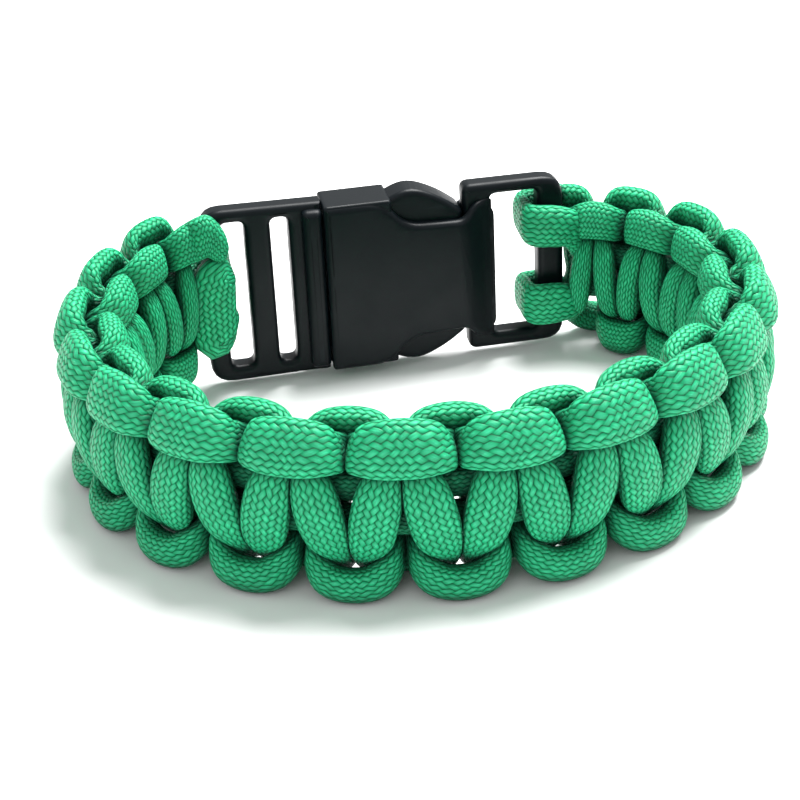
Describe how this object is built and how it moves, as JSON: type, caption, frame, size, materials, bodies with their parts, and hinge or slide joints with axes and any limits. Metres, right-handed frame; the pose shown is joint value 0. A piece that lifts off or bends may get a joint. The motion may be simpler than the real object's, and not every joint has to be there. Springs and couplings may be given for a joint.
{
  "type": "woven cord bracelet",
  "caption": "Woven cord bracelet in a whole loop, closed by a moulded side-release buckle, standing on its lower edge.",
  "frame": {"origin": "middle of the bounding box's base, on the plane the bracelet stands on", "axes": "+Z along the loop's axis, +X along the buckle from plug to socket, +Y from the front of the loop towards the buckle"},
  "size_m": [0.0836, 0.0612, 0.0242],
  "materials": {
    "buckle_plastic": "black injection-moulded acetal with a soft satin surface",
    "cord_core": "green braided nylon sheath, satin",
    "cord_outer": "green braided nylon sheath, satin",
    "cord_inner": "green braided nylon sheath, satin"
  },
  "bodies": {
    "root": {"buckle_plug": "buckle_plastic", "buckle_socket": "buckle_plastic", "core_cord": "cord_core", "outer_strand": "cord_outer", "inner_strand": "cord_inner"}
  },
  "joints": []
}
